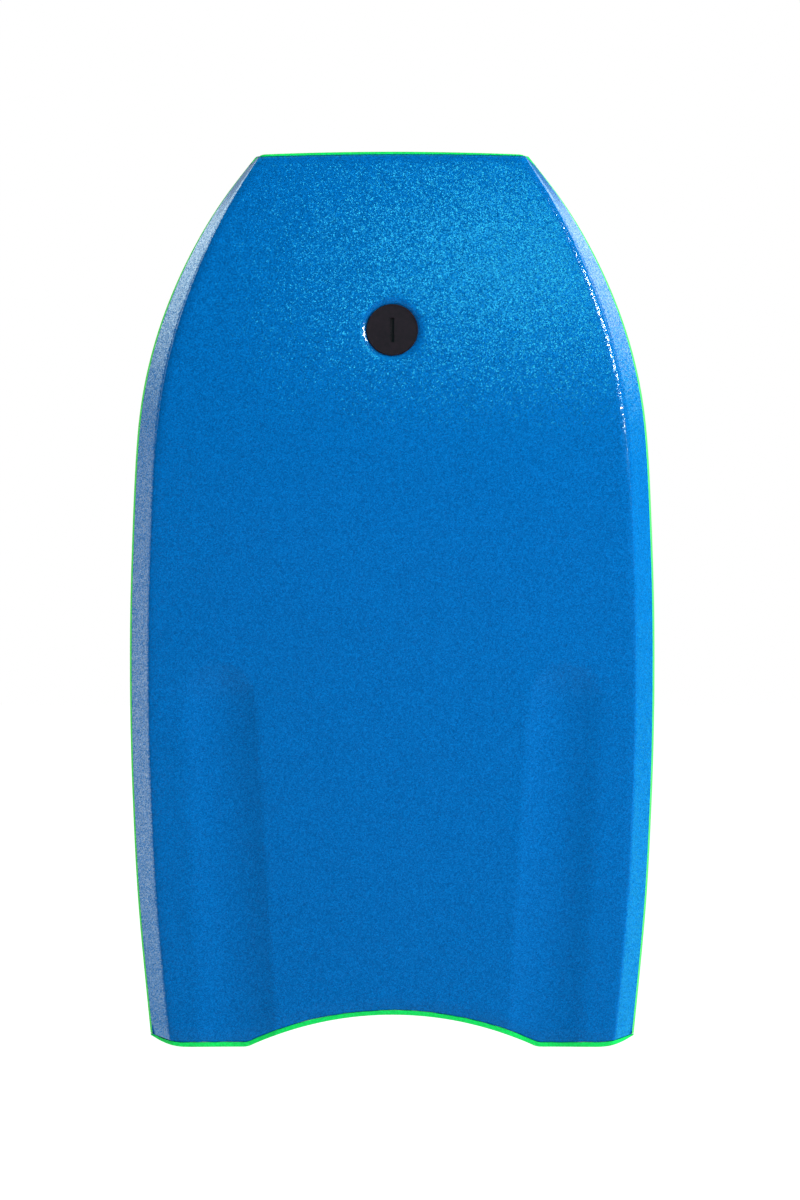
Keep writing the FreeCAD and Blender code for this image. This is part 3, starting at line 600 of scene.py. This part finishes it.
slick_blue = foam_skin("slick_blue", BLUE, 0.20, 0.45, BLUE_SHEEN, 0.0009, 0.00009, 0.34, film=1.0)
deck_green = foam_skin("deck_green", GREEN, 0.62, 0.3, GREEN_SHEEN, 0.0016, 0.00007, 0.14)
# The lip's paler green, painted light.
lip_painted_light_green = foam_skin("lip_painted_light_green", LIP_PAINTED_LIGHT_GREEN, 0.8, 0.1, WHITE, 0.0012, 0.00006, 0.12)
strip_green = foam_skin("strip_green", GREEN, 0.66, 0.25, GREEN_SHEEN, 0.0012, 0.00006, 0.20)
plug_black = moulded_plastic("plug_black", (0.0056, 0.0049, 0.0078), 0.42)
screw_black = moulded_plastic("screw_black", (0.0180, 0.0062, 0.0105), 0.42)
core_white = bead_foam("core_white", (0.8, 0.8, 0.78))

# ---------------------------------------------------------------- the board's pieces

SEAM_GAP = 0.0001  # between a chine strip and the lip above it
DECK_FLAT_INSET = 0.0245  # from the board's side to where the deck's even columns begin
SIDE_CLEARANCE = 0.0008  # the least height over the seam of the deck's outer face, past its lip
INNER_CLEARANCE = 0.0010  # and of its inner face
CUT_HEIGHT = 0.0013  # how far above the seam the lip's cut face reaches, where it is painted a paler, lit green


def stacked(x, y, z):
    return np.stack([x, y, z], axis=-1)


def finish_piece(made, node_name):
    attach(made, "board")
    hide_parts(node_name)
    return made


def side_steps(reach, first, count):
    """Distances in from a side's edge: fine steps first, then even ones out to reach."""
    return np.concatenate([first, np.linspace(first[-1], reach, count + 1)[1:]])


def make_slick():
    """The blue bottom sheet, out to the chines."""
    reach = 0.150
    fine = np.array([0, 0.0004, 0.001, 0.0018, 0.0028, 0.004, 0.0055])
    shares = 1 - side_steps(reach, fine, 74)[:-1] / reach
    plug = plug_offsets()

    def side_columns(z):
        return PLUG_ZONE + (chine_edge(z) - PLUG_ZONE) * shares

    def across(z):
        return board_columns(z, plug, side_columns, len(shares))

    z = grid_heights(across, 2 * len(shares) + len(plug))
    x, z = ringed(across(z), z)
    outer = stacked(x, bottom(x, z) + cut_edge(x, z), z)
    inner = stacked(x, bottom(x, z, crisp=True) + SLICK_THICKNESS, z)[::2, ::2]
    made = sheet("slick_bottom_sheet", outer, inner, slick_blue, plug_hole(x.shape[1] - 1))
    return finish_piece(made, "slick_bottom")


def make_rail_strip(side, name):
    """The blue strip along one chine, from the slick's edge up to the lip."""
    shares = np.linspace(0, 1, 15)

    def across(z):
        return chine_edge(z) + (chine(z) - lip(z)) * shares

    z = grid_heights(across, len(shares))
    x = across(z)
    y = np.minimum(bottom(x, z) + cut_edge(x, z), seam(z) - SEAM_GAP)
    outer = stacked(side * x, y, z)
    turn = shares[::2, None]
    push = np.concatenate([-side * RAIL_THICKNESS * turn, SLICK_THICKNESS * (1 - turn), 0 * turn], axis=1)
    inner = outer[::2, ::2] + push
    if side < 0:
        outer, inner = outer[:, ::-1], inner[:, ::-1]
    made = sheet(f"{name}_strip", outer, inner, slick_blue)
    return finish_piece(made, name)


def make_deck_skin():
    """The green deck sheet, wrapped over the shoulders and down to its cut edges at the seams. The lip's cut
    face is a paler green: painted light.
    """
    lip_insets = np.array([RAIL_THICKNESS, 0.0016, 0.0008, 0.0003, 0.0])
    lip_lifts = np.array([0.0, 0.0, 0.0002, 0.00055, 0.0011])
    side_insets = np.array([0.0004, 0.0008, 0.0014, 0.002, 0.0026, 0.0032, 0.0038, 0.0045, 0.0053, 0.0062,
                            0.0072, 0.0084, 0.0098, 0.0113, 0.0128, 0.0144, 0.0161, 0.0180, 0.0200, 0.0222])
    insets = np.concatenate([lip_insets, side_insets])
    inner_insets = RAIL_THICKNESS + np.concatenate([0 * lip_insets, side_insets * 0.9])
    flat_shares = np.linspace(1, 0, 39)[:-1]
    plug = plug_offsets()
    side_count = len(insets) + len(flat_shares)

    def side_columns(z):
        rim_z, flat_z = z[:, :len(insets)], z[:, len(insets):]
        flat = PLUG_ZONE + (half_width(flat_z) - DECK_FLAT_INSET - PLUG_ZONE) * flat_shares
        return np.concatenate([half_width(rim_z) - insets, flat], axis=1)

    def across(z):
        return board_columns(z, plug, side_columns, side_count)

    def on_both_sides(values, columns, sign=1):
        """A row of numbers for all columns: values in from one side, mirrored on the other, else 0."""
        row = np.zeros(columns)
        row[:len(values)] = values
        row[-len(values):] = sign * values[::-1]
        return row

    z = grid_heights(across, 2 * side_count + len(plug))
    x, z = ringed(across(z), z)
    columns = x.shape[1]
    at_lip = on_both_sides(np.ones(len(lip_insets)), columns) > 0
    lipped = seam(z) + on_both_sides(lip_lifts, columns)
    open_face = np.maximum(deck_face(x, z) - cut_edge(x, z), seam(z) + SIDE_CLEARANCE)
    outer = stacked(x, np.where(at_lip, lipped, open_face), z)

    inner_x = x + on_both_sides(inner_insets - insets, columns, -1)
    inner_y = np.where(at_lip, seam(z), deck_face(x, z) - DECK_THICKNESS)
    inner = stacked(inner_x, np.maximum(inner_y, seam(z) + INNER_CLEARANCE), z)[::2, ::2]
    made = sheet("deck_skin_sheet", outer[:, ::-1], inner[:, ::-1], deck_green, plug_hole(columns - 1))
    # The lip's cut face gets the paler green: painted light, standing in for the light the thin lip catches.
    made.data.materials.append(lip_painted_light_green)
    for face in made.data.polygons:
        place = face.center
        by_side = float(half_width(place.z)) - abs(place.x) < RAIL_THICKNESS
        if by_side and place.y < float(seam(place.z)) + CUT_HEIGHT:
            face.material_index = 1
    return finish_piece(made, "deck_skin")


def meeting_point(line):
    """Where an end's outline meets the board's side: half width, found by halving."""
    low, high = 0.0, 0.3
    for _ in range(HALVINGS):
        x = (low + high) / 2
        if x > float(half_width(line(x))):
            high = x
        else:
            low = x
    return low


def bumper_section():
    """A bumper's section as (out, up, out_by, up_by), from its inner foot round its rounded outer corners.

    out and up are shares of its depth and height, and out_by and up_by are steps of the edges' radius.
    """
    quarter = np.linspace(0, math.pi / 2, 5)
    section = [(0.0, 0.0, 0.0, 0.0), (0.5, 0.0, 0.0, 0.0)]
    section += [(1.0, 0.0, math.sin(angle) - 1, 1 - math.cos(angle)) for angle in quarter]
    section += [(1.0, share, 0.0, 0.0) for share in np.linspace(0, 1, 9)[1:-1]]
    section += [(1.0, 1.0, math.cos(angle) - 1, math.sin(angle) - 1) for angle in quarter]
    section += [(0.5, 1.0, 0.0, 0.0), (0.0, 1.0, 0.0, 0.0)]
    return section + [(0.0, share, 0.0, 0.0) for share in np.linspace(1, 0, 5)[1:-1]]


def board_between(x, z):
    """The board's lowest and highest Y at a place on an end's outline, taken within the skins' lengths."""
    within = np.clip(z, skin_tail(x), skin_nose(x))
    low = np.minimum(bottom(x, within), seam(z))
    return low, np.maximum(np.maximum(deck_face(x, within), seam(z)), low)


def tube_faces(count, length):
    """Faces of a closed tube of count lines, each of length points, with its two end caps."""
    faces = []
    for i in range(count):
        after = (i + 1) % count
        for j in range(length - 1):
            faces.append((i * length + j, after * length + j, after * length + j + 1, i * length + j + 1))
    faces.append(tuple(i * length for i in range(count))[::-1])
    faces.append(tuple(i * length + length - 1 for i in range(count)))
    return faces


def make_bumper(name, outline, inner_line):
    """A foam strip round one cut end of the board, as tall as the board is thick."""
    outer_end, inner_end = meeting_point(outline), meeting_point(inner_line)
    fine = np.array([0, 0.0001, 0.0003, 0.0006, 0.001, 0.0015, 0.0021, 0.0028, 0.0036, 0.0046, 0.0058, 0.0072,
                     0.009, 0.011, 0.0132, 0.0156, 0.018])
    cell = 0.0024
    half = 1 - side_steps(outer_end, fine, int(outer_end / cell)) / outer_end
    shares = np.concatenate([-half, half[::-1][1:]])
    outer_x, inner_x = shares * outer_end, shares * inner_end
    outer_z, inner_z = outline(outer_x), inner_line(inner_x)
    outer_low, outer_high = board_between(outer_x, outer_z)
    inner_low, inner_high = board_between(inner_x, inner_z)
    depth = np.hypot(outer_x - inner_x, outer_z - inner_z)
    radius = np.minimum(BUMPER_EDGE, 0.45 * np.minimum(depth, outer_high - outer_low))
    radius_share = radius / np.maximum(depth, 1e-6)

    lines = []
    for out, up, out_by, up_by in bumper_section():
        share = out + out_by * radius_share
        x = inner_x + (outer_x - inner_x) * share
        z = inner_z + (outer_z - inner_z) * share
        low = inner_low + (outer_low - inner_low) * share
        high = inner_high + (outer_high - inner_high) * share
        lines.append(stacked(x, low + (high - low) * up + up_by * radius, z))
    faces = tube_faces(len(lines), len(shares))
    made = new_mesh(f"{name}_strip", np.concatenate(lines), faces, strip_green)
    return finish_piece(made, name)


make_slick()
make_rail_strip(-1, "rail_strip_left")
make_rail_strip(1, "rail_strip_right")
make_deck_skin()
make_bumper("tail_bumper", tail_line, bumper_tail)
make_bumper("nose_bumper", nose_line, bumper_nose)

kept_nodes = {"foam_core": core_white, "leash_plug_screw": screw_black, "leash_plug_top": plug_black}
for name, material in kept_nodes.items():
    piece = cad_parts[name]
    piece.data.materials.clear()
    piece.data.materials.append(material)

# ---------------------------------------------------------------- floor, light and camera


def make_floor():
    reach = 30.0
    material, tree, surface = shader("floor_white", (0.2, 0.2, 0.2), 0.9, 0.0)
    surface.inputs["Emission Color"].default_value = (*WHITE, 1)
    surface.inputs["Emission Strength"].default_value = 1.0
    corners = [(-reach, -reach, 0), (reach, -reach, 0), (reach, reach, 0), (-reach, reach, 0)]
    mesh = bpy.data.meshes.new("floor")
    mesh.from_pydata(corners, [], [(0, 1, 2, 3)])
    mesh.materials.append(material)
    floor = bpy.data.objects.new("floor", mesh)
    floor.visible_glossy = False
    bpy.context.scene.collection.objects.link(floor)


def make_world():
    """White to the eye. As a light it is bright behind and above the board, and dim in front of it."""
    world = bpy.data.worlds.new("studio")
    bpy.context.scene.world = world
    world.use_nodes = True
    tree = world.node_tree
    tree.nodes.clear()
    direction = node(tree, "ShaderNodeTexCoord").outputs["Generated"]
    split = node(tree, "ShaderNodeSeparateXYZ", Vector=direction)

    def between(source, low, high, at_low, at_high):
        return map_range(tree, split.outputs[source], low, high, at_low, at_high)

    def times(first, second):
        return maths(tree, "MULTIPLY", first, second)

    def larger(first, second):
        return maths(tree, "MAXIMUM", first, second)

    behind = times(between("Y", -0.1, 0.4, 0.015, 1.0), between("X", -0.6, 0.6, 0.55, 0.15))
    above = between("Z", 0.5, 0.95, 0.0, 0.8)

    # Bright wings just past the board's edges, which the chines mirror: high ones and low ones.
    past_edge = times(between("Y", 0.02, 0.2, 0.0, 1.0), between("Z", 0.55, 0.8, 1.0, 0.0))
    past_edge = times(past_edge, between("Y", 0.65, 0.85, 1.0, 0.0))
    flank = map_range(tree, maths(tree, "ABSOLUTE", split.outputs["X"]), 0.3, 0.6, 0.0, 1.0)
    high = times(between("Z", 0.10, 0.42, 0.0, 3.1), flank)
    low = between("Z", 0.01, -0.05, 0.0, 1.1)
    wings = times(maths(tree, "ADD", high, low), past_edge)
    strength = larger(larger(behind, above), wings)

    # Cool light, short of red, low on the right and in front.
    cool = times(between("X", -0.2, 0.3, 0.0, 0.92), between("Z", 0.20, 0.40, 1.0, 0.0))
    cool = larger(cool, between("Y", 0.0, -0.2, 0.15, 0.92))
    red = maths(tree, "SUBTRACT", 1.0, cool)
    colour = node(tree, "ShaderNodeCombineColor", Red=red, Green=1.0, Blue=1.0).outputs[0]
    lit = node(tree, "ShaderNodeBackground", Color=colour, Strength=strength)
    seen = node(tree, "ShaderNodeBackground", Color=(*WHITE, 1), Strength=1.0)
    eye = node(tree, "ShaderNodeLightPath").outputs["Is Camera Ray"]
    both = node(tree, "ShaderNodeMixShader", Fac=eye)
    tree.links.new(lit.outputs[0], both.inputs[1])
    tree.links.new(seen.outputs[0], both.inputs[2])
    output = node(tree, "ShaderNodeOutputWorld")
    tree.links.new(both.outputs[0], output.inputs["Surface"])


def area_light(name, place, target, width, height, watts, colour=WHITE, mirrored=True):
    """A rectangle of light. One that isn't mirrored lights the board but never shows as a highlight."""
    light = bpy.data.lights.new(name, "AREA")
    light.color = colour
    light.shape = "RECTANGLE"
    light.size, light.size_y, light.energy = width, height, watts
    lamp = bpy.data.objects.new(name, light)
    lamp.visible_glossy = mirrored
    lamp.location = place
    lamp.rotation_euler = (Vector(target) - Vector(place)).to_track_quat("-Z", "Y").to_euler()
    bpy.context.scene.collection.objects.link(lamp)


def make_camera():
    """A long lens, square to the board's bottom."""
    data = bpy.data.cameras.new("camera")
    data.lens, data.sensor_width = 300.0, 36.0
    seen_height = 1.1252  # of the plane through the board's middle
    centre_x, centre_z = 0.0073, 0.4178  # of what it sees
    distance = data.lens / data.sensor_width * seen_height
    camera = bpy.data.objects.new("camera", data)
    camera.location = (centre_x, -distance, centre_z)
    camera.rotation_euler = (math.pi / 2, 0, 0)
    data.clip_end = 100
    bpy.context.scene.collection.objects.link(camera)
    bpy.context.scene.camera = camera


make_floor()
make_world()
middle = (0, 0, LENGTH / 2)
nose_right = (0.125, -0.03, 0.74)
COOL, CYAN = (0.4, 1, 1), (0.08, 1, 1)
area_light("side", (3.0, -1.2, 2.62), middle, 1.6, 1.6, 113, COOL, mirrored=False)
area_light("low_side", (1.8, -0.85, 0.25), middle, 1.0, 1.6, 20, COOL, mirrored=False)
area_light("key", (1.42, -1.95, 1.40), middle, 0.32, 0.32, 18)
area_light("near", (0.17, -1.19, 1.05), nose_right, 0.25, 0.25, 0.78, CYAN)
area_light("rim", (-2.6, 0.83, 0.42), middle, 1.4, 1.1, 2.9)
area_light("back", (-1.3, 2.6, 1.9), middle, 1.2, 1.2, 12, mirrored=False)
make_camera()
bpy.context.scene.view_settings.view_transform = "Standard"
